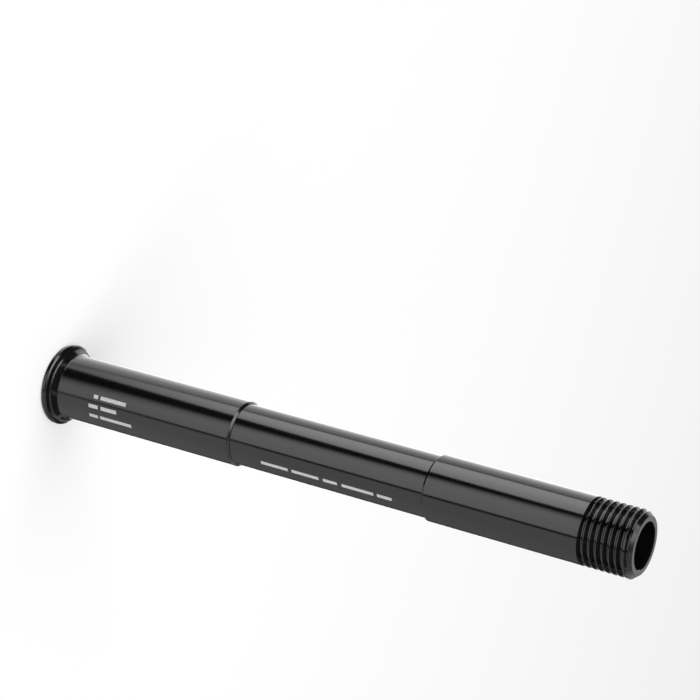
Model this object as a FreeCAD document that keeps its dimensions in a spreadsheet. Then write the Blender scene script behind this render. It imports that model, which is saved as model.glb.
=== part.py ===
"""Hollow thru axle for a bicycle wheel: one turned piece with a flange head at the
bottom, two journals either side of a slimmer waist, and a male thread at the top.

The axle stands on the flat outer face of its head. The origin is the centre of that
face, +Z runs up the axis to the threaded tip, and lengths are in millimetres.
"""
import FreeCAD, Part
import math
import os

import Sketcher

Vector = FreeCAD.Vector

# Driving dimensions, each one a cell of the spreadsheet
SIZES = [
    ("rim_diameter", 19.1, "outside of the head's thin flange"),
    ("rim_edge_radius", 0.5, "rounding of the flange's outer edge"),
    ("rim_height", 1.0, "top of the flange's straight edge"),
    ("rim_bevel", 0.35, "bevel on the flange's upper edge"),
    ("cove_height", 2.2, "from the top of that bevel to the foot of the first journal"),
    ("cove_radius", 2.8, "curve of the hollow between the two"),
    ("journal_diameter", 15.0, "both journals"),
    ("waist_start", 50.5, "end of the head-side journal"),
    ("waist_depth", 0.49, "how far the waist lies inside the journals"),
    ("shoulder_length", 0.5, "conical step at each end of the waist"),
    ("reach", 148.0, "from the top of the flange's edge to the tip"),
    ("thread_journal_length", 36.4, "straight part of the thread-side journal"),
    ("thread_length", 12.1, "from the end of that journal to the tip"),
    ("thread_crest_drop", 0.165, "how far the crests lie inside the journals"),
    ("thread_depth", 0.56, "from the crests to the bottom of the groove"),
    ("thread_pitch", 1.5, "rise of the groove in a turn"),
    ("thread_root_width", 0.14, "flat at the bottom of the groove"),
    ("thread_flank_angle", 30.0, "slope of each side of the groove"),
    ("groove_lead", 0.92, "depth of the groove's first root below the thread's start"),
    ("groove_overrun", 0.3, "how far the groove's section reaches past the crests"),
    ("tip_chamfer_length", 1.11, "height of the cone that leads into the nut"),
    ("tip_chamfer_depth", 0.91, "how far that cone falls inside the crests"),
    ("bore_diameter", 10.3, "drilled from the tip"),
    ("bore_mouth_chamfer", 0.15, "broken edge of the bore at the tip"),
    ("drill_point_angle", 118.0, "cone at the end of the bore"),
    ("hex_across_flats", 6.0, "socket for a hexagon key"),
    ("hex_depth", 7.0, "depth of the socket's flats"),
    ("hex_mouth_clearance", 0.35, "how far the countersink clears the socket's corners"),
    ("socket_web", 4.0, "from the socket's flats to the bore's straight wall"),
    ("pilot_step", 0.25, "how far the joining hole lies inside the socket's flats"),
]

doc = FreeCAD.newDocument("ThruAxle")
sheet = doc.addObject("Spreadsheet::Sheet", "Sizes")
for row, (alias, value, note) in enumerate(SIZES, start=1):
    sheet.set("A%d" % row, alias)
    sheet.set("B%d" % row, str(value))
    sheet.set("C%d" % row, note)
    sheet.setAlias("B%d" % row, alias)
doc.recompute()

body = doc.addObject("PartDesign::Body", "Axle")
body.Label = "thru_axle"


def new_sketch(name, role):
    """An empty sketch on the body's own origin plane of this role."""
    plane = next(item for item in body.Origin.OriginFeatures if item.Role == role)
    sketch = body.newObject("Sketcher::SketchObject", name)
    sketch.AttachmentSupport = [(plane, "")]
    sketch.MapMode = "FlatFace"
    return sketch


def evaluate(expression):
    """The present value of an expression of the sheet's cells."""
    return float(sheet.evalExpression(expression))


def bind(sketch, kind, places, name, expression):
    """A dimension between places of a sketch, its value tied to the sheet."""
    constraint = Sketcher.Constraint(kind, *places, evaluate(expression))
    index = sketch.addConstraint(constraint)
    sketch.renameConstraint(index, name)
    sketch.setExpression("Constraints." + name, expression)


def arc_between(start, end, radius, turn):
    """The short arc from start to end; turn is 1 for anticlockwise, -1 for clockwise."""
    chord = end - start
    rise = math.sqrt(radius ** 2 - (chord.Length / 2) ** 2)
    across = Vector(-chord.y, chord.x, 0).normalize()
    centre = (start + end) / 2 + across * rise * turn
    first, last = (start, end) if turn > 0 else (end, start)
    angles = [math.atan2(p.y - centre.y, p.x - centre.x) for p in (first, last)]
    circle = Part.Circle(centre, Vector(0, 0, 1), radius)
    return Part.ArcOfCircle(circle, angles[0], angles[1])


def outline(name, corners, arcs=None):
    """A closed half-section on the XZ plane, one corner to a row.

    A row is (corner's name, distance from the axis, height), both as expressions of
    the sheet's cells. arcs gives (radius, turn) under the name of the corner that the
    arc leaves; every other side is straight.
    """
    arcs = arcs or {}
    sketch = new_sketch(name, "XZ_Plane")
    points = [Vector(evaluate(radius), evaluate(height), 0) for _, radius, height in corners]
    count = len(corners)
    ends = []
    for i, (label, _, _) in enumerate(corners):
        start, end = points[i], points[(i + 1) % count]
        if label in arcs:
            radius, turn = arcs[label]
            sketch.addGeometry(arc_between(start, end, evaluate(radius), turn), False)
            ends.append((1, 2) if turn > 0 else (2, 1))
        else:
            sketch.addGeometry(Part.LineSegment(start, end), False)
            ends.append((1, 2))
    for i in range(count):
        j = (i + 1) % count
        sketch.addConstraint(Sketcher.Constraint("Coincident", i, ends[i][1], j, ends[j][0]))
    for i, (label, radius, height) in enumerate(corners):
        corner = (i, ends[i][0])
        if radius == "0":
            sketch.addConstraint(Sketcher.Constraint("PointOnObject", *corner, -2))
        else:
            bind(sketch, "DistanceX", (-1, 1) + corner, label + "_radius", radius)
        if height == "0":
            sketch.addConstraint(Sketcher.Constraint("PointOnObject", *corner, -1))
        else:
            bind(sketch, "DistanceY", (-1, 1) + corner, label + "_height", height)
        if label in arcs:
            bind(sketch, "Radius", (i,), label + "_arc", arcs[label][0])
    return sketch


def turned(kind, name, sketch):
    """A full turn of a half-section about the axle's axis, added or cut away."""
    feature = body.newObject("PartDesign::" + kind, name)
    feature.Profile = sketch
    feature.ReferenceAxis = (sketch, ["V_Axis"])
    feature.Angle = 360.0
    sketch.Visibility = False
    doc.recompute()
    return feature


def pocket(name, sketch, depth):
    """A pocket that runs up from the head's outer face."""
    feature = body.newObject("PartDesign::Pocket", name)
    feature.Profile = sketch
    feature.Reversed = True
    feature.setExpression("Length", depth)
    sketch.Visibility = False
    doc.recompute()
    return feature


# Radii and heights that more than one feature uses
RIM = "Sizes.rim_diameter / 2"
JOURNAL = "Sizes.journal_diameter / 2"
WAIST = JOURNAL + " - Sizes.waist_depth"
CREST = JOURNAL + " - Sizes.thread_crest_drop"
ROOT = CREST + " - Sizes.thread_depth"
TIP = "Sizes.rim_height + Sizes.reach"
THREAD_START = TIP + " - Sizes.thread_length"
WAIST_END = THREAD_START + " - Sizes.thread_journal_length"
SOCKET_CORNER = "Sizes.hex_across_flats / sqrt(3)"
BORE_FLOOR = "Sizes.hex_depth + Sizes.socket_web"

# The threaded end: a plain cylinder with a lead-in cone. It reaches down inside the
# journal, which is put round it once the groove has been cut.
foot = THREAD_START + " - 2 * Sizes.thread_pitch"
blank = turned("Revolution", "ThreadBlank", outline("BlankOutline", [
    ("foot_axis", "0", foot),
    ("foot", CREST, foot),
    ("crest_end", CREST, TIP + " - Sizes.tip_chamfer_length"),
    ("tip_face", CREST + " - Sizes.tip_chamfer_depth", TIP),
    ("tip_axis", "0", TIP),
]))

# The groove's section: a flat root and two sloping sides that open past the crests
middle = THREAD_START + " - Sizes.groove_lead"
mouth = CREST + " + Sizes.groove_overrun"
half_root = "Sizes.thread_root_width / 2"
rise = "(Sizes.thread_depth + Sizes.groove_overrun)"
half_mouth = "%s + %s * tan(Sizes.thread_flank_angle)" % (half_root, rise)
groove_section = outline("GrooveSection", [
    ("root_low", ROOT, "%s - (%s)" % (middle, half_root)),
    ("mouth_low", mouth, "%s - (%s)" % (middle, half_mouth)),
    ("mouth_high", mouth, "%s + (%s)" % (middle, half_mouth)),
    ("root_high", ROOT, "%s + (%s)" % (middle, half_root)),
])
groove = body.newObject("PartDesign::SubtractiveHelix", "ThreadGroove")
groove.Profile = groove_section
groove.ReferenceAxis = (groove_section, ["V_Axis"])
groove.Mode = "pitch-height-angle"
groove.LeftHanded = False
groove.setExpression("Pitch", "Sizes.thread_pitch")
groove.setExpression("Height", "%s - (%s) + Sizes.thread_pitch" % (TIP, middle))
groove_section.Visibility = False
doc.recompute()

# Head, journals and waist, up to the shoulder where the thread starts
bevel = RIM + " - Sizes.rim_bevel"
bevel_top = "Sizes.rim_height + Sizes.rim_bevel"
shank = turned("Revolution", "Shank", outline("ShankOutline", [
    ("face_axis", "0", "0"),
    ("face_edge", RIM + " - Sizes.rim_edge_radius", "0"),
    ("rim_low", RIM, "Sizes.rim_edge_radius"),
    ("rim_high", RIM, "Sizes.rim_height"),
    ("bevel", bevel, bevel_top),
    ("journal_foot", JOURNAL, bevel_top + " + Sizes.cove_height"),
    ("waist_step", JOURNAL, "Sizes.waist_start"),
    ("waist_foot", WAIST, "Sizes.waist_start + Sizes.shoulder_length"),
    ("waist_head", WAIST, WAIST_END + " - Sizes.shoulder_length"),
    ("journal_step", JOURNAL, WAIST_END),
    ("shoulder", JOURNAL, THREAD_START),
    ("shoulder_axis", "0", THREAD_START),
], {"face_edge": ("Sizes.rim_edge_radius", 1), "bevel": ("Sizes.cove_radius", -1)}))

# The bore from the tip, with the cone that the drill leaves and a broken edge
bore_wall = "Sizes.bore_diameter / 2"
drill_point = "%s - %s / tan(Sizes.drill_point_angle / 2)" % (BORE_FLOOR, bore_wall)
bore = turned("Groove", "Bore", outline("BoreOutline", [
    ("point", "0", drill_point),
    ("floor", bore_wall, BORE_FLOOR),
    ("wall", bore_wall, TIP + " - Sizes.bore_mouth_chamfer"),
    ("mouth", bore_wall + " + Sizes.bore_mouth_chamfer", TIP),
    ("mouth_axis", "0", TIP),
]))

# A narrower hole joins the bore and the socket
pilot_wall = "Sizes.hex_across_flats / 2 - Sizes.pilot_step"
pilot_outline = new_sketch("PilotOutline", "XY_Plane")
circle = Part.Circle(Vector(0, 0, 0), Vector(0, 0, 1), evaluate(pilot_wall))
pilot_outline.addGeometry(circle, False)
pilot_outline.addConstraint(Sketcher.Constraint("Coincident", 0, 3, -1, 1))
bind(pilot_outline, "Radius", (0,), "pilot", pilot_wall)
pilot = pocket("Pilot", pilot_outline, BORE_FLOOR)

# Hexagon socket in the head's outer face, two of its flats across Y
hex_outline = new_sketch("HexOutline", "XY_Plane")
corner_radius = evaluate(SOCKET_CORNER)
hex_corners = []
for k in range(6):
    turn = math.radians(60 * k)
    hex_corners.append(Vector(corner_radius * math.cos(turn), corner_radius * math.sin(turn), 0))
for k in range(6):
    hex_outline.addGeometry(Part.LineSegment(hex_corners[k], hex_corners[(k + 1) % 6]), False)
circle = Part.Circle(Vector(0, 0, 0), Vector(0, 0, 1), corner_radius)
hex_outline.addGeometry(circle, True)
hex_outline.addConstraint(Sketcher.Constraint("Coincident", 6, 3, -1, 1))
for k in range(6):
    hex_outline.addConstraint(Sketcher.Constraint("Coincident", k, 2, (k + 1) % 6, 1))
    hex_outline.addConstraint(Sketcher.Constraint("PointOnObject", k, 1, 6))
for k in range(1, 6):
    hex_outline.addConstraint(Sketcher.Constraint("Equal", 0, k))
hex_outline.addConstraint(Sketcher.Constraint("PointOnObject", 0, 1, -1))
bind(hex_outline, "Radius", (6,), "corner", SOCKET_CORNER)
socket = pocket("HexSocket", hex_outline, "Sizes.hex_depth")

mouth_wall = SOCKET_CORNER + " + Sizes.hex_mouth_clearance"
throat_height = "%s - (%s)" % (mouth_wall, pilot_wall)
countersink = turned("Groove", "SocketMouth", outline("MouthOutline", [
    ("face_axis", "0", "0"),
    ("face", mouth_wall, "0"),
    ("throat", pilot_wall, throat_height),
    ("throat_axis", "0", throat_height),
]))

# Each cut takes something away, and each addition leaves more
steps = [blank, groove, shank, bore, pilot, socket, countersink]
for before, after in zip(steps[:-1], steps[1:]):
    change = after.Shape.Volume - before.Shape.Volume
    print("%s changes the volume by %.3f mm3" % (after.Name, change))
    if (change > 0) != (after is shank):
        raise RuntimeError(after.Name + " works in the wrong direction")

doc.recompute()
for item in doc.Objects:
    if "Invalid" in item.State or "Error" in item.State:
        raise RuntimeError("%s failed: %s" % (item.Name, item.State))

os.makedirs("parts", exist_ok=True)
for piece in [body]:
    shape = piece.Shape
    if shape.isNull() or not shape.isValid() or len(shape.Solids) != 1:
        raise RuntimeError(piece.Label + " is not one valid solid")
    print("%s: %.1f mm3" % (piece.Label, shape.Volume))
    shape.exportStep(os.path.join("parts", piece.Label + ".step"))
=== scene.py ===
"""Hollow thru axle, standing on its head on a pale floor in soft studio light.

Lengths are in millimetres, heights are measured up from the head's outer face, and both
become metres when a mesh, a lamp or the camera is made. Angles about the axle are in
degrees from +X.
"""
import math

import bpy
import numpy as np
from mathutils import Matrix, Vector


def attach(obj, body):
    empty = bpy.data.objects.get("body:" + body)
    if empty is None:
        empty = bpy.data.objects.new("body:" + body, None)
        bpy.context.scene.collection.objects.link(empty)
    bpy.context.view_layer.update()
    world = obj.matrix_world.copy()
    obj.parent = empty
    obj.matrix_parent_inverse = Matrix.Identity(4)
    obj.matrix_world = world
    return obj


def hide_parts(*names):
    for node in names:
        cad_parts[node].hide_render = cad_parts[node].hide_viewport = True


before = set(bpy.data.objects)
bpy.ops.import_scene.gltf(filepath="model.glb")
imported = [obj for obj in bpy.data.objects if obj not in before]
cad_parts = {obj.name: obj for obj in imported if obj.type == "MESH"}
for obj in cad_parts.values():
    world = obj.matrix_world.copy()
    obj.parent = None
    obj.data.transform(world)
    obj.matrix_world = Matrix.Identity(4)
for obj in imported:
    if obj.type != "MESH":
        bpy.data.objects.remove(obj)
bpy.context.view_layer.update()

MM = 0.001
UP = np.array([0.0, 0.0, 1.0])

# Head: flange with a rounded edge and a bevel, and the cove that runs into the journal
RIM_R = 9.55
RIM_EDGE = 0.5
RIM_EDGE_STEPS = 8
RIM_TOP = 1.0
RIM_BEVEL = 0.35
RIM_ROUND = 0.12
COVE_HEIGHT = 2.2
COVE_R = 2.8
COVE_STEPS = 24

# Journals and waist, and the roundings of their corners from the head to the shoulder
JOURNAL_R = 7.5
WAIST_R = 7.01
WAIST_START = 50.5
WAIST_END = 100.5
STEP = 0.5
SHOULDER_Z = 136.9
SHANK_ROUNDS = (0.08, 0.3, 0.15, 0.12, 0.02)
ROUND_STEPS = 3

# Thread: the middle of the groove's root is at ROOT_Z where the angle and the turn are 0.
# A ridge has one rounding towards the tip and one towards the head.
CREST_R = 7.475
ROOT_R = 6.55
ROOT_HALF = 0.1
ROOT_Z = 137.74
PITCH = 1.5
SIDE_TILT = math.radians(60.0)
TIPWARD_ROUND = 0.05
HEADWARD_ROUND = 0.1

# Rows of points on a groove's side, as shares of it, and round a ridge's edge
SIDE_SHARES = (0.0, 0.04, 0.36, 0.68)
CREST_POINTS = 6

# Helix angles between which the groove runs out, and how far it climbs there
RUNOUT_FROM = 2385.0
RUNOUT_TO = 2510.0
RUNOUT_RISE = 0.1

# Tip: lead-in cone, flat ring, and the roundings of their corners down into the bore
TIP_Z = 149.0
CONE_Z = 147.75
CONE_R = 6.42
THREAD_TOP_Z = TIP_Z - 0.1
TIP_ROUNDS = (0.08, 0.04, 0.04, 0.0, 0.0)

# Bore with a broken edge, drill point and the narrow hole behind it
BORE_R = 5.15
BORE_EDGE = 0.15
BORE_FLOOR = 11.0
DRILL = math.radians(59.0)
PILOT_R = 2.75

# Hexagon socket and its countersunk mouth; the nudge keeps a column at a corner on one side
SIXTH = math.radians(60.0)
TWELFTH = math.radians(30.0)
HEX_FLAT = 3.0
HEX_DEPTH = 7.0
MOUTH_WIDER = 0.35
MOUTH_R = HEX_FLAT / math.cos(TWELFTH) + MOUTH_WIDER
NUDGE = 1e-9

COLUMNS = 240
PHI = np.arange(COLUMNS) * 2.0 * math.pi / COLUMNS


def add_object(name, data):
    """A new object in the scene, with this mesh, lamp or camera."""
    made = bpy.data.objects.new(name, data)
    bpy.context.scene.collection.objects.link(made)
    return made


def mesh_of(name, points, faces, material):
    """A mesh of one material from points in millimetres."""
    mesh = bpy.data.meshes.new(name)
    mesh.from_pydata([tuple(p * MM for p in point) for point in points], [], faces)
    mesh.materials.append(material)
    mesh.update()
    return mesh


# Camera: angles in radians, the focal length in pixels of a square picture, and the pixel
# where the point of the axis at AIM_Z is seen

CAMERA_DISTANCE = 515.153
CAMERA_ELEVATION = 0.47312
CAMERA_ROLL = -1.84358
CAMERA_NEAR = 10.0
CAMERA_FAR = 20000.0
FOCAL = 2326.38
AIM_Z = 75.0
AIM_PIXEL = (337.532, 460.026)
IMAGE = 700.0
SENSOR = 36.0


def camera_frame():
    """Place of the camera and its right, down and forward directions."""
    forward = np.array([0.0, math.cos(CAMERA_ELEVATION), -math.sin(CAMERA_ELEVATION)])
    place = AIM_Z * UP - forward * CAMERA_DISTANCE
    right = np.cross(forward, UP)
    right /= np.linalg.norm(right)
    down = np.cross(forward, right)
    turn = (math.cos(CAMERA_ROLL), math.sin(CAMERA_ROLL))
    axes = np.array([turn[0] * right + turn[1] * down, -turn[1] * right + turn[0] * down, forward])
    ray = np.array([(AIM_PIXEL[0] - IMAGE / 2) / FOCAL, (AIM_PIXEL[1] - IMAGE / 2) / FOCAL, 1.0])
    ray /= np.linalg.norm(ray)
    swing = Vector(UP).rotation_difference(Vector(ray)).to_matrix()
    return place, np.array(swing) @ axes


def make_camera():
    """The camera looks down at the standing axle, and is rolled so that it lies across the picture."""
    place, axes = camera_frame()
    data = bpy.data.cameras.new("camera")
    data.sensor_width = SENSOR
    data.lens = FOCAL / IMAGE * SENSOR
    data.clip_start = CAMERA_NEAR * MM
    data.clip_end = CAMERA_FAR * MM
    camera = add_object("camera", data)
    turn = Matrix((axes[0], -axes[1], -axes[2])).transposed().to_4x4()
    camera.matrix_world = Matrix.Translation(Vector(place * MM)) @ turn
    bpy.context.scene.camera = camera


# Axle

class Shell:
    """A surface made of rings of points, with a normal for each corner of each face."""

    def __init__(self):
        self.points = []
        self.faces = []
        self.normals = []

    def add_points(self, points):
        """Stores the points and gives their numbers."""
        first = len(self.points)
        self.points.extend(points)
        return np.arange(first, first + len(points))

    def add_face(self, corners, normals):
        """Adds a face without repeated corners, if three or more are left."""
        kept, kept_normals = [], []
        for point, normal in zip(corners, normals):
            if point not in kept:
                kept.append(point)
                kept_normals.append(normal)
        if len(kept) > 2:
            self.faces.append(kept)
            self.normals.extend(kept_normals)

    def join(self, low, low_normals, high, high_normals):
        """Faces between two rings that have the same columns."""
        for j in range(COLUMNS):
            k = (j + 1) % COLUMNS
            corners = (low[j], low[k], high[k], high[j])
            self.add_face(corners, (low_normals[j], low_normals[k], high_normals[k], high_normals[j]))

    def mesh(self, name, material):
        """The finished mesh, shaded by the stored normals."""
        mesh = mesh_of(name, self.points, self.faces, material)
        mesh.polygons.foreach_set("use_smooth", [True] * len(mesh.polygons))
        mesh.normals_split_custom_set([tuple(n) for n in self.normals])
        mesh.update()
        return mesh


def ring(radius, z):
    """Points round the axis; the radius and height may differ from column to column."""
    radius = np.broadcast_to(radius, (COLUMNS,))
    z = np.broadcast_to(z, (COLUMNS,))
    return np.stack([radius * np.cos(PHI), radius * np.sin(PHI), z], axis=-1)


def spread(normal):
    """The same (outward, up) normal at every column."""
    out, up = normal
    size = math.hypot(out, up)
    return np.stack([out / size * np.cos(PHI), out / size * np.sin(PHI),
                     np.full(COLUMNS, up / size)], axis=-1)


def line(start, end):
    """Straight piece of the half-section: ends and the normal on its right-hand side."""
    run = (end[0] - start[0], end[1] - start[1])
    normal = (run[1], -run[0])
    return [(start, normal), (end, normal)]


def arc(centre, radius, first, last, steps, hollow=False):
    """Round piece of the half-section between two directions from its centre, in degrees."""
    points = []
    for angle in np.radians(np.linspace(first, last, steps + 1)):
        out = (math.cos(angle), math.sin(angle))
        place = (centre[0] + radius * out[0], centre[1] + radius * out[1])
        points.append((place, (-out[0], -out[1]) if hollow else out))
    return points


def direction(vector):
    """Direction of a vector of the half-section, in degrees from outward."""
    return math.degrees(math.atan2(vector[1], vector[0]))


def hollow_arc(start, end, radius, steps):
    """Hollow round piece of the half-section between two points of the outside."""
    start, end = np.array(start), np.array(end)
    chord = end - start
    size = np.linalg.norm(chord)
    across = np.array([chord[1], -chord[0]]) / size
    centre = (start + end) / 2 + across * math.sqrt(radius ** 2 - (size / 2) ** 2)
    return arc(centre, radius, direction(start - centre), direction(end - centre), steps, hollow=True)


def corner(before, place, after, radius):
    """Small rounding of a corner, between the points before and after it."""
    a = np.subtract(before, place)
    b = np.subtract(after, place)
    a /= np.linalg.norm(a)
    b /= np.linalg.norm(b)
    half = math.acos(float(np.clip(a @ b, -1.0, 1.0))) / 2
    middle = (a + b) / np.linalg.norm(a + b)
    centre = np.add(place, middle * radius / math.sin(half))
    first = direction(np.add(place, a * radius / math.tan(half)) - centre)
    last = direction(np.add(place, b * radius / math.tan(half)) - centre)
    last = first + (last - first + 180.0) % 360.0 - 180.0
    return arc(centre, radius, first, last, ROUND_STEPS, hollow=last < first)


def rounded(path, radii):
    """Half-section through a path's points, its inner points rounded by these radii."""
    pieces = []
    start = path[0]
    for before, place, after, radius in zip(path[:-2], path[1:-1], path[2:], radii):
        if radius:
            bend = corner(before, place, after, radius)
            pieces += [line(start, bend[0][0]), bend]
            start = bend[-1][0]
        else:
            pieces.append(line(start, place))
            start = place
    return pieces + [line(start, path[-1])]


def revolve(shell, pieces, start=None):
    """Rings for every piece of a half-section, joined in order; gives the end rings."""
    first_ring = start
    for piece in pieces:
        for (low, low_normal), (high, high_normal) in zip(piece[:-1], piece[1:]):
            if start is None:
                start = shell.add_points(ring(*low))
                first_ring = start
            end = shell.add_points(ring(*high))
            shell.join(start, spread(low_normal), end, spread(high_normal))
            start = end
    return first_ring, start


def groove_side(rounding):
    """(offset, radius, slope) from the groove's root up one side to the ridge's top."""
    edge_r = CREST_R - rounding * (1.0 - math.cos(SIDE_TILT))
    edge = ROOT_HALF + (edge_r - ROOT_R) / math.tan(SIDE_TILT)
    side = []
    for share in SIDE_SHARES:
        side.append((ROOT_HALF + (edge - ROOT_HALF) * share,
                     ROOT_R + (edge_r - ROOT_R) * share, math.tan(SIDE_TILT) if share else 0.0))
    top = edge + rounding * math.sin(SIDE_TILT)
    for angle in np.linspace(SIDE_TILT, 0.0, CREST_POINTS):
        side.append((top - rounding * math.sin(angle),
                     CREST_R - rounding * (1.0 - math.cos(angle)), math.tan(angle)))
    return side


def groove_section():
    """(offset, radius, slope) across one turn of the thread, from ridge to ridge."""
    below = [(-offset, radius, -slope) for offset, radius, slope in groove_side(TIPWARD_ROUND)]
    above = groove_side(HEADWARD_ROUND)
    ridge = below[-1][0] + PITCH
    middle = (above[-1][0] + ridge) / 2
    return below[::-1] + above + [(middle, CREST_R, 0.0)]


def blank_radius(z):
    """Radius and slope of the turned blank at the thread: crests, then the lead-in cone."""
    fall = (CREST_R - CONE_R) / (TIP_Z - CONE_Z)
    if z <= CONE_Z:
        return CREST_R, 0.0
    return CREST_R - (z - CONE_Z) * fall, -fall


def thread_point(turn, offset, section_radius, section_slope):
    """Height, radius and slope of the thread at a helix angle (degrees) and an offset.

    The groove grows shallower and climbs a little where it runs out at the cone.
    """
    share = min(max((turn - RUNOUT_FROM) / (RUNOUT_TO - RUNOUT_FROM), 0.0), 1.0)
    z = ROOT_Z + PITCH * turn / 360.0 + offset + RUNOUT_RISE * share
    radius = section_radius + (CREST_R - ROOT_R) * share
    if radius >= CREST_R:
        return z, CREST_R, 0.0
    return z, radius, section_slope


def thread(shell, low_z, high_z, low_ring, high_ring):
    """The threaded stretch, on a grid that follows the helix and stops at two rings."""
    section = groove_section()
    rows = len(section)
    first_turn = math.floor((low_z - ROOT_Z - PITCH) / PITCH) - 1
    last_turn = math.ceil((high_z - ROOT_Z) / PITCH) + 1
    count = (last_turn - first_turn) * rows
    index = np.zeros((count + rows, COLUMNS), dtype=int)
    normals = np.zeros((count + rows, COLUMNS, 3))
    for m in range(count + rows):
        offset, section_radius, section_slope = section[m % rows]
        for j in range(COLUMNS):
            turn = 360.0 * (first_turn + m // rows + j / COLUMNS)
            z, radius, slope = thread_point(turn, offset, section_radius, section_slope)
            blank, blank_slope = blank_radius(min(max(z, low_z), high_z))
            out = np.array([math.cos(PHI[j]), math.sin(PHI[j]), 0.0])
            if radius >= blank:
                normal = out - blank_slope * UP
            else:
                across = np.array([-math.sin(PHI[j]), math.cos(PHI[j]), 0.0])
                lead = PITCH / (2.0 * math.pi * radius)
                normal = out + slope * lead * across - slope * UP
            normals[m, j] = normal / np.linalg.norm(normal)
            if z <= low_z:
                index[m, j] = low_ring[j]
            elif z >= high_z:
                index[m, j] = high_ring[j]
            else:
                index[m, j] = shell.add_points([out * min(radius, blank) + z * UP])[0]

    # A row's last column meets the first column of the same row one turn higher
    for m in range(count - 1):
        for j in range(COLUMNS):
            k, row = (j + 1, m) if j + 1 < COLUMNS else (0, m + rows)
            corners = (index[m, j], index[row, k], index[row + 1, k], index[m + 1, j])
            shell.add_face(corners, (normals[m, j], normals[row, k],
                                     normals[row + 1, k], normals[m + 1, j]))


def radius_at(z):
    """Radius of the threaded stretch at one height, at every column."""
    offsets, radii, _ = zip(*groove_section())
    result = np.zeros(COLUMNS)
    for j in range(COLUMNS):
        turns = (z - ROOT_Z) / PITCH - j / COLUMNS
        nearest = math.floor(turns - offsets[0] / PITCH)
        offset = (turns - nearest) * PITCH
        depth = np.interp(offset, offsets, radii, left=CREST_R, right=CREST_R)
        turn = 360.0 * (nearest + j / COLUMNS)
        radius = thread_point(turn, offset, depth, 0.0)[1]
        result[j] = min(radius, blank_radius(z)[0])
    return result


def axle_mesh(material):
    """The whole axle as one closed surface."""
    shell = Shell()
    up = np.tile(UP, (COLUMNS, 1))

    # Head: flat outer face, rounded edge, bevel, and the cove that runs into the journal
    bevel_r = RIM_R - RIM_BEVEL
    bevel_z = RIM_TOP + RIM_BEVEL
    foot_z = bevel_z + COVE_HEIGHT
    face_edge = RIM_R - RIM_EDGE
    head = [
        line((MOUTH_R, 0.0), (face_edge, 0.0)),
        arc((face_edge, RIM_EDGE), RIM_EDGE, -90.0, 0.0, RIM_EDGE_STEPS),
    ]
    head += rounded([(RIM_R, RIM_EDGE), (RIM_R, RIM_TOP), (bevel_r, bevel_z)], [RIM_ROUND])
    head.append(hollow_arc((bevel_r, bevel_z), (JOURNAL_R, foot_z), COVE_R, COVE_STEPS))

    # Journals and waist, up to the shoulder where the thread starts
    shank = rounded([
        (JOURNAL_R, foot_z),
        (JOURNAL_R, WAIST_START),
        (WAIST_R, WAIST_START + STEP),
        (WAIST_R, WAIST_END - STEP),
        (JOURNAL_R, WAIST_END),
        (JOURNAL_R, SHOULDER_Z),
        (CREST_R, SHOULDER_Z),
    ], SHANK_ROUNDS)
    mouth_ring, end = revolve(shell, head + shank[:-1])
    shoulder = shell.add_points(ring(radius_at(SHOULDER_Z), SHOULDER_Z))
    shell.join(end, up, shoulder, up)

    # Thread and its lead-in cone
    top_r = blank_radius(THREAD_TOP_Z)[0]
    top = shell.add_points(ring(top_r, THREAD_TOP_Z))
    thread(shell, SHOULDER_Z, THREAD_TOP_Z, shoulder, top)

    # Tip ring, bore, drill point and the narrow hole behind it
    drill_z = BORE_FLOOR - (BORE_R - PILOT_R) / math.tan(DRILL)
    inside = rounded([
        (top_r, THREAD_TOP_Z),
        (CONE_R, TIP_Z),
        (BORE_R + BORE_EDGE, TIP_Z),
        (BORE_R, TIP_Z - BORE_EDGE),
        (BORE_R, BORE_FLOOR),
        (PILOT_R, drill_z),
        (PILOT_R, HEX_DEPTH),
    ], TIP_ROUNDS)
    floor = revolve(shell, inside, top)[1]

    # Hexagon socket with its countersunk mouth
    turn = (PHI + TWELFTH) % SIXTH - TWELFTH
    flat = HEX_FLAT / np.cos(turn - TWELFTH * np.sign(turn))
    side = np.floor(PHI / SIXTH + NUDGE) * SIXTH + TWELFTH
    wall = -np.stack([np.cos(side), np.sin(side), np.zeros(COLUMNS)], axis=-1)
    deep = shell.add_points(ring(flat, HEX_DEPTH))
    rim = shell.add_points(ring(flat, MOUTH_R - flat))
    shell.join(floor, -up, deep, -up)
    for j in range(COLUMNS):
        k = (j + 1) % COLUMNS
        shell.add_face((deep[j], deep[k], rim[k], rim[j]), [wall[j]] * 4)
    cone = spread((-1.0, -1.0))
    shell.join(rim, cone, mouth_ring, cone)
    return shell.mesh("axle", material)


# Materials

RAMP_SPAN = (0.3, 0.7)
WHITE = (1.0, 1.0, 1.0, 1.0)


class Nodes:
    """Short names for making a node material."""

    def __init__(self, name):
        self.material = bpy.data.materials.new(name)
        self.material.use_nodes = True
        self.tree = self.material.node_tree
        self.tree.nodes.clear()
        self.output = self.tree.nodes.new("ShaderNodeOutputMaterial")

    def node(self, kind, **values):
        """A node with these settings; an underscore stands for a space in an input's name."""
        node = self.tree.nodes.new("ShaderNode" + kind)
        for name, value in values.items():
            if hasattr(node, name):
                setattr(node, name, value)
            else:
                node.inputs[name.replace("_", " ")].default_value = value
        return node

    def link(self, source, target):
        self.tree.links.new(source, target)

    def shade(self, factor, low, high):
        """Colour that runs from one to the other across the middle of the factor."""
        node = self.node("ValToRGB")
        for element, position, colour in zip(node.color_ramp.elements, RAMP_SPAN, (low, high)):
            element.position = position
            element.color = (*colour, 1.0)
        self.link(factor, node.inputs["Fac"])
        return node.outputs["Color"]


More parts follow.
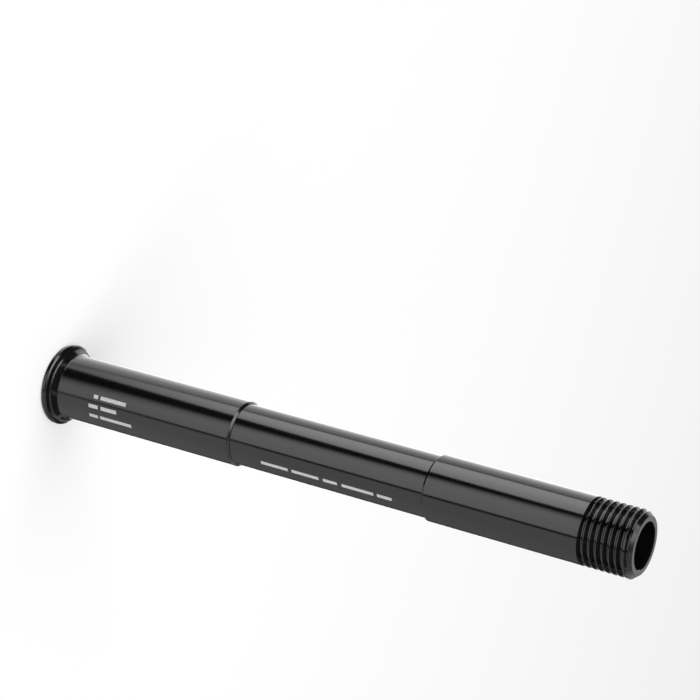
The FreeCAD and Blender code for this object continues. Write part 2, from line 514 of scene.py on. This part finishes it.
def anodised():
    """Black anodised metal: glossy, with fine turning marks round the axis."""
    nodes = Nodes("black_anodised")
    where = nodes.node("TexCoord")
    stretch = nodes.node("Mapping", Scale=(60.0, 60.0, 9000.0))
    nodes.link(where.outputs["Object"], stretch.inputs["Vector"])
    turning = nodes.node("TexNoise", Scale=1.0, Detail=3.0, Roughness=0.6)
    nodes.link(stretch.outputs["Vector"], turning.inputs["Vector"])
    cloud = nodes.node("TexNoise", Scale=90.0, Detail=4.0, Roughness=0.55)
    nodes.link(where.outputs["Object"], cloud.inputs["Vector"])
    shade = nodes.shade(cloud.outputs["Fac"], (0.0035, 0.0035, 0.004), (0.0055, 0.0055, 0.006))
    gloss = nodes.node("MapRange", From_Min=0.25, From_Max=0.75, To_Min=0.10, To_Max=0.15)
    nodes.link(turning.outputs["Fac"], gloss.inputs["Value"])
    bump = nodes.node("Bump", Strength=0.05, Distance=0.00002)
    nodes.link(turning.outputs["Fac"], bump.inputs["Height"])
    shader = nodes.node("BsdfPrincipled", Metallic=0.0, IOR=1.6)
    nodes.link(shade, shader.inputs["Base Color"])
    nodes.link(gloss.outputs["Result"], shader.inputs["Roughness"])
    nodes.link(bump.outputs["Normal"], shader.inputs["Normal"])
    nodes.link(shader.outputs["BSDF"], nodes.output.inputs["Surface"])
    return nodes.material


def print_white():
    """Pale marking, slightly uneven where it lies on the dark metal."""
    nodes = Nodes("laser_mark")
    where = nodes.node("TexCoord")
    grain = nodes.node("TexNoise", Scale=2600.0, Detail=2.0)
    nodes.link(where.outputs["Object"], grain.inputs["Vector"])
    shader = nodes.node("BsdfPrincipled", Roughness=0.6)
    nodes.link(nodes.shade(grain.outputs["Fac"], (0.58, 0.58, 0.59), (0.76, 0.76, 0.77)),
               shader.inputs["Base Color"])
    nodes.link(shader.outputs["BSDF"], nodes.output.inputs["Surface"])
    return nodes.material


# Marks: row, the angle at its middle, the radius it lies on, and each bar's ends

MARKS = [
    ("size", -82.5, JOURNAL_R, [(13.6, 14.8), (15.5, 22.6)]),
    ("thread", -64.0, JOURNAL_R, [(12.4, 15.0), (15.8, 20.2)]),
    ("pitch", -44.5, JOURNAL_R, [(12.4, 14.8), (15.4, 24.2)]),
    ("waist", -43.5, WAIST_R, [(59.2, 66.2), (67.2, 74.2), (75.3, 78.9), (80.1, 88.1), (89.0, 92.7)]),
]
MARK_HALF = 3.4
MARK_STEPS = 3
MARK_PROUD = 0.012
MARK_SUNK = 0.02


def bar(name, low_z, high_z, middle, surface_r, material):
    """A thin plate that follows the axle's curve, its lower face just inside the metal."""
    angles = np.radians(np.linspace(middle - MARK_HALF, middle + MARK_HALF, MARK_STEPS + 1))
    points = []
    for radius in (surface_r + MARK_PROUD, surface_r - MARK_SUNK):
        for angle in angles:
            for z in (low_z, high_z):
                points.append((radius * math.cos(angle), radius * math.sin(angle), z))
    inner = len(points) // 2
    last = inner - 2
    faces = []
    for a in range(0, last, 2):
        b = a + 2
        faces += [
            (a, b, b + 1, a + 1),
            (inner + a, inner + a + 1, inner + b + 1, inner + b),
            (a, inner + a, inner + b, b),
            (a + 1, b + 1, inner + b + 1, inner + a + 1),
        ]
    faces += [
        (0, 1, inner + 1, inner),
        (last, inner + last, inner + last + 1, last + 1),
    ]
    piece = add_object(name, mesh_of(name, points, faces, material))
    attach(piece, "root")


# Studio

# Name of the attribute that holds the light levels of a mesh
LEVEL = "level"

# Cards: radius of the ball that they lie on, heights of their rows, heights between which
# they end softly, columns between two edges, and how angle and level change up the axle
CARD_RADIUS = 2900.0
CARD_HEIGHTS = (-50.0, -20.0, 0.0, 8.0, 18.0, 30.0, 45.0, 60.0, 80.0, 100.0, 120.0, 149.0, 156.0, 170.0)
CARD_TOP = (149.0, 170.0)
CARD_STEPS = 6
BEND_HEIGHT = 120.0
BEND_POWER = 0.65
LEVEL_HEIGHT = 60.0

# Angle on the axle at the tip and at the head, then the light level there
LOW_CARDS = [
    (-186.0, -186.0, 2.8, 1.9),
    (-173.0, -173.0, 2.5, 1.8),
    (-165.0, -165.0, 1.9, 1.75),
    (-155.0, -155.0, 1.6, 1.65),
    (-142.0, -137.0, 1.1, 1.45),
    (-140.7, -133.8, 1.05, 1.3),
    (-139.6, -132.4, 0.3, 0.35),
    (-138.8, -131.6, 0.3, 0.35),
    (-136.6, -130.0, 3.0, 0.6),
    (-126.0, -126.0, 3.2, 0.95),
    (-112.3, -122.0, 2.6, 0.85),
    (-111.9, -121.4, 0.01, 0.01),
    (-107.0, -103.0, 0.01, 0.01),
    (-101.5, -95.0, 1.6, 0.9),
    (-97.0, -88.0, 1.85, 1.4),
    (-75.0, -75.0, 1.6, 1.2),
    (-74.6, -74.6, 0.02, 0.4),
    (-71.4, -71.4, 0.02, 0.4),
    (-71.0, -71.0, 0.95, 0.95),
    (-45.0, -45.0, 0.76, 0.8),
    (-28.0, -28.0, 0.42, 0.45),
    (-20.0, -20.0, 0.24, 0.25),
    (-15.0, -15.0, 0.15, 0.16),
    (-10.0, -10.0, 0.05, 0.06),
    (-5.0, -5.0, 0.07, 0.07),
    (4.0, 4.0, 0.2, 0.2),
]

# Tent: a dark ball of rows and columns whose first column is at the seam's azimuth
TENT_RADIUS = 3000.0
TENT_ROWS = 91
TENT_COLUMNS = 180
TENT_SEAM = -200.0
TENT_DARK = 0.06

# Azimuth and elevation of each panel, its half width, half height and soft edge, and level
PANELS = [
    (112.0, -16.0, 27.0, 12.0, 8.0, 0.35),
    (116.0, 3.0, 24.0, 10.0, 8.0, 1.15),
    (88.0, 16.0, 16.0, 16.0, 6.0, 0.8),
    (-150.0, 14.0, 3.0, 28.0, 5.0, 0.6),
    (-50.0, 14.0, 3.0, 28.0, 5.0, 0.4),
    (40.0, 14.0, 4.0, 28.0, 5.0, 0.5),
    (-90.0, 88.0, 180.0, 12.0, 8.0, 0.01),
    (-90.0, -75.0, 180.0, 30.0, 8.0, 0.03),
    (-30.0, -60.0, 38.0, 24.0, 30.0, 1.3),
    (20.0, -52.0, 50.0, 22.0, 10.0, 0.7),
]

# A long soft strip of light high round the front: azimuth, elevation and level along it
STRIP = [
    (-182.0, 37.5, 0.1),
    (-174.0, 42.0, 0.3),
    (-167.0, 44.5, 4.4),
    (-130.0, 54.5, 4.2),
    (-112.0, 57.5, 3.2),
    (-96.0, 58.5, 2.3),
    (-88.0, 58.5, 1.4),
    (-76.0, 58.0, 0.8),
    (-63.0, 57.0, 0.4),
    (-50.0, 55.5, 0.4),
    (-40.0, 53.0, 0.85),
    (-26.0, 49.5, 1.0),
    (-6.0, 42.0, 1.0),
    (12.0, 34.5, 0.9),
    (28.0, 25.0, 0.8),
    (42.0, 16.0, 0.85),
    (56.0, 8.0, 0.8),
    (68.0, 0.0, 0.55),
    (80.0, -6.0, 0.1),
]
STRIP_AZIMUTHS, STRIP_ELEVATIONS, STRIP_LEVELS = zip(*STRIP)
STRIP_HALF = 2.5
STRIP_SOFT = 5.0

# Floor, and how strongly it and the surroundings glow
FLOOR_RADIUS = 3000.0
FLOOR_SIDES = 96
FLOOR_COLOUR = (0.8, 0.8, 0.8, 1.0)
FLOOR_GLOW = 0.31
WORLD_LIT = 0.5
WORLD_SEEN = 1.0

# Name, place and power of each lamp; all have one size and point at one place
LAMPS = [
    ("key", (350.0, -450.0, 900.0), 4.0),
    ("fill", (-600.0, -200.0, 800.0), 2.3),
]
LAMP_SIZE = 700.0
LAMP_AIM = (0.0, 0.0, 70.0)


def ease(value):
    """Soft step from 0 to 1."""
    value = min(max(value, 0.0), 1.0)
    return value * value * (3.0 - 2.0 * value)


def emitter(name):
    """Light of the level that the mesh's own attribute gives."""
    nodes = Nodes(name)
    level = nodes.node("Attribute", attribute_name=LEVEL)
    glow = nodes.node("Emission")
    nodes.link(level.outputs["Fac"], glow.inputs["Strength"])
    nodes.link(glow.outputs["Emission"], nodes.output.inputs["Surface"])
    return nodes.material


def glowing(name, points, faces, levels, material):
    """A surface of given light levels that only reflections see."""
    mesh = mesh_of(name, points, faces, material)
    store = mesh.attributes.new(LEVEL, "FLOAT", "POINT")
    store.data.foreach_set("value", levels)
    piece = add_object(name, mesh)
    piece.visible_camera = False
    piece.visible_diffuse = False
    piece.visible_shadow = False
    piece.visible_transmission = False
    piece.visible_volume_scatter = False


def reflected_on_card(angle, height, place):
    """Where a ray from the camera meets the cards after the journal has turned it."""
    phi = math.radians(angle)
    normal = np.array([math.cos(phi), math.sin(phi), 0.0])
    start = normal * JOURNAL_R + height * UP
    to_camera = place - start
    to_camera /= np.linalg.norm(to_camera)
    ray = 2.0 * (normal @ to_camera) * normal - to_camera
    ahead = start @ ray
    return start + ray * (math.sqrt(ahead ** 2 - start @ start + CARD_RADIUS ** 2) - ahead)


def make_low_cards(material):
    """Cards side by side below the axle's height, whose reflections run along it."""
    place = camera_frame()[0]
    columns = []
    for first, second in zip(LOW_CARDS[:-1], LOW_CARDS[1:]):
        for share in np.linspace(0.0, 1.0, CARD_STEPS, endpoint=False):
            columns.append([a + (b - a) * share for a, b in zip(first, second)])
    columns.append(LOW_CARDS[-1])
    points, levels, faces = [], [], []
    for tip_angle, head_angle, tip_level, head_level in columns:
        for height in CARD_HEIGHTS:
            bend = min(max(height, 0.0) / BEND_HEIGHT, 1.0) ** BEND_POWER
            fade = min(max(height, 0.0) / LEVEL_HEIGHT, 1.0)
            end = ease((CARD_TOP[1] - height) / (CARD_TOP[1] - CARD_TOP[0]))
            points.append(reflected_on_card(head_angle + (tip_angle - head_angle) * bend, height, place))
            levels.append((head_level + (tip_level - head_level) * fade) * end)
    rows = len(CARD_HEIGHTS)
    for i in range(len(columns) - 1):
        for k in range(rows - 1):
            faces.append((i * rows + k, (i + 1) * rows + k, (i + 1) * rows + k + 1, i * rows + k + 1))
    glowing("low_cards", points, faces, levels, material)


def tent_level(azimuth, elevation):
    """Light level of the dark tent round the axle, with its soft panels."""
    level = TENT_DARK
    for where, height, wide, tall, soft, value in PANELS:
        aside = abs((azimuth - where + 180.0) % 360.0 - 180.0)
        share = ease((wide + soft - aside) / soft) * ease((tall + soft - abs(elevation - height)) / soft)
        level += (value - level) * share
    if STRIP_AZIMUTHS[0] <= azimuth <= STRIP_AZIMUTHS[-1]:
        height = np.interp(azimuth, STRIP_AZIMUTHS, STRIP_ELEVATIONS)
        value = np.interp(azimuth, STRIP_AZIMUTHS, STRIP_LEVELS)
        level += (value - level) * ease((STRIP_HALF + STRIP_SOFT - abs(elevation - height)) / STRIP_SOFT)
    return level


def make_tent(material):
    """A ball round the axle and the floor that only reflections see."""
    points, levels, faces = [], [], []
    for i in range(TENT_ROWS):
        elevation = 180.0 * i / (TENT_ROWS - 1) - 90.0
        for j in range(TENT_COLUMNS):
            azimuth = 360.0 * j / TENT_COLUMNS + TENT_SEAM
            a, e = math.radians(azimuth), math.radians(elevation)
            points.append((TENT_RADIUS * math.cos(a) * math.cos(e), TENT_RADIUS * math.sin(a) * math.cos(e),
                           TENT_RADIUS * math.sin(e)))
            levels.append(tent_level(azimuth, elevation))
    for i in range(TENT_ROWS - 1):
        low, high = i * TENT_COLUMNS, (i + 1) * TENT_COLUMNS
        for j in range(TENT_COLUMNS):
            k = (j + 1) % TENT_COLUMNS
            faces.append((low + j, low + k, high + k, high + j))
    glowing("tent", points, faces, levels, material)


def floor_material():
    """Pale matt floor, which the camera sees a little lighter than it is lit."""
    nodes = Nodes("floor")
    path = nodes.node("LightPath")
    strength = nodes.node("Math", operation="MULTIPLY")
    strength.inputs[1].default_value = FLOOR_GLOW
    nodes.link(path.outputs["Is Camera Ray"], strength.inputs[0])
    matt = nodes.node("BsdfDiffuse", Color=FLOOR_COLOUR)
    glow = nodes.node("Emission")
    nodes.link(strength.outputs[0], glow.inputs["Strength"])
    both = nodes.node("AddShader")
    nodes.link(matt.outputs[0], both.inputs[0])
    nodes.link(glow.outputs[0], both.inputs[1])
    nodes.link(both.outputs[0], nodes.output.inputs["Surface"])
    return nodes.material


def make_floor():
    """A round floor under the head, which the axle doesn't reflect."""
    points = []
    for i in range(FLOOR_SIDES):
        angle = 2 * math.pi * i / FLOOR_SIDES
        points.append((FLOOR_RADIUS * math.cos(angle), FLOOR_RADIUS * math.sin(angle), 0.0))
    floor = add_object("floor", mesh_of("floor", points, [tuple(range(FLOOR_SIDES))], floor_material()))
    floor.visible_glossy = False


def make_world():
    """White all round, brighter to the camera than to what it lights."""
    world = bpy.data.worlds.new("studio")
    bpy.context.scene.world = world
    world.use_nodes = True
    tree = world.node_tree
    tree.nodes.clear()
    output = tree.nodes.new("ShaderNodeOutputWorld")
    path = tree.nodes.new("ShaderNodeLightPath")
    mix = tree.nodes.new("ShaderNodeMixShader")
    tree.links.new(path.outputs["Is Camera Ray"], mix.inputs[0])
    for socket, strength in ((mix.inputs[1], WORLD_LIT), (mix.inputs[2], WORLD_SEEN)):
        white = tree.nodes.new("ShaderNodeBackground")
        white.inputs["Color"].default_value = WHITE
        white.inputs["Strength"].default_value = strength
        tree.links.new(white.outputs[0], socket)
    tree.links.new(mix.outputs[0], output.inputs["Surface"])


def area_light(name, place, power):
    """A square lamp that points at the axle and isn't reflected by it."""
    data = bpy.data.lights.new(name, "AREA")
    data.shape = "SQUARE"
    data.size = LAMP_SIZE * MM
    data.energy = power
    lamp = add_object(name, data)
    place, aim = (Vector([v * MM for v in point]) for point in (place, LAMP_AIM))
    lamp.location = place
    lamp.rotation_mode = "QUATERNION"
    lamp.rotation_quaternion = (aim - place).to_track_quat("-Z", "Y")
    lamp.visible_glossy = False


# Scene

bpy.context.scene.view_settings.view_transform = "Standard"
make_camera()

axle = add_object("axle_body", axle_mesh(anodised()))
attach(axle, "root")
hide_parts("thru_axle")

mark = print_white()
for row, middle, surface_r, spans in MARKS:
    for index, (low_z, high_z) in enumerate(spans):
        bar("mark_%s_%d" % (row, index + 1), low_z, high_z, middle, surface_r, mark)

card = emitter("card")
make_floor()
make_world()
make_tent(card)
make_low_cards(card)
for name, place, power in LAMPS:
    area_light(name, place, power)
